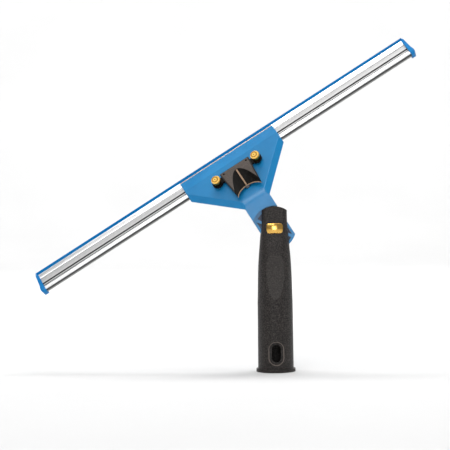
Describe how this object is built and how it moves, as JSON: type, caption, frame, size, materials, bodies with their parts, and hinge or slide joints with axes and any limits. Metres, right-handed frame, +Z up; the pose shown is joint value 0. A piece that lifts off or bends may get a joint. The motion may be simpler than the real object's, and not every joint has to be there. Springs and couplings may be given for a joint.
{
  "type": "window squeegee",
  "caption": "Window squeegee with a swivelling blue head, aluminium channel with rubber blade, push-button swivel lock, rocker channel release and hollow black handle.",
  "frame": {"origin": "centre of the handle's open lower end, at the mouth of the pole socket", "axes": "+Z up the handle, -Y to the front where the button and the release lever are, +X to the right seen from the front"},
  "size_m": [0.3141, 0.0412, 0.2694],
  "materials": {
    "handle_plastic": "black polypropylene with a fine spark-eroded texture",
    "cap_plastic": "black nylon, plain",
    "lever_plastic": "black nylon, satin",
    "head_plastic": "blue moulded plastic, semi-gloss",
    "end_cap_plastic": "blue moulded plastic, semi-gloss",
    "blade_rubber": "blue squeegee rubber, smooth",
    "channel_aluminium": "bright extruded aluminium with fine lengthwise drawing lines",
    "brass": "turned and polished brass",
    "zinc_steel": "zinc-plated steel",
    "spring_steel": "bare spring wire",
    "nylon": "natural nylon"
  },
  "bodies": {
    "handle": {"handle_body": "handle_plastic", "swivel_cap": "cap_plastic", "cap_screws": "zinc_steel", "lock_spring": "spring_steel", "front_washer": "nylon", "rear_washer": "nylon"},
    "button": {"lock_button": "brass"},
    "head": {"swivel_head": "head_plastic", "tongue_bushing": "zinc_steel", "lever_pivot_pin": "zinc_steel", "lever_spring": "spring_steel"},
    "lever": {"release_lever": "lever_plastic"},
    "clamp": {"left_release_pin": "brass", "right_release_pin": "brass", "clamp_plate": "zinc_steel", "pin_clips": "spring_steel"},
    "blade": {"blade_channel": "channel_aluminium", "rubber_blade": "blade_rubber", "left_end_cap": "end_cap_plastic", "right_end_cap": "end_cap_plastic"}
  },
  "joints": [
    {"name": "head_swivel", "type": "hinge", "parent": "handle", "child": "head", "pos_m": [0, 0, 0.1146], "axis": [0, 1, 0], "range_deg": [-57, 122]},
    {"name": "button_press", "type": "slide", "parent": "handle", "child": "button", "axis": [0, 1, 0], "range_m": [0, 0.002], "stiffness_N_per_m": 1500, "springref_m": -0.002, "deforming": ["lock_spring"]},
    {"name": "lever_rock", "type": "hinge", "parent": "head", "child": "lever", "pos_m": [-0.02528, -0.00348, 0.15493], "axis": [0.8473, 0, 0.5311], "range_deg": [0, 12], "stiffness_Nm_per_rad": 0.2, "springref_deg": -11.46, "deforming": ["lever_spring"]},
    {"name": "pin_lift", "type": "slide", "parent": "head", "child": "clamp", "axis": [-0.2656, -0.866, 0.4237], "range_m": [0, 0.0016]},
    {"name": "channel_slide", "type": "slide", "parent": "head", "child": "blade", "axis": [0.8473, 0, 0.5311], "range_m": [-0.125, 0.135]}
  ],
  "couplings": [
    {"joint": "lever_rock", "follows": "pin_lift", "rad_per_m": 130.9}
  ]
}
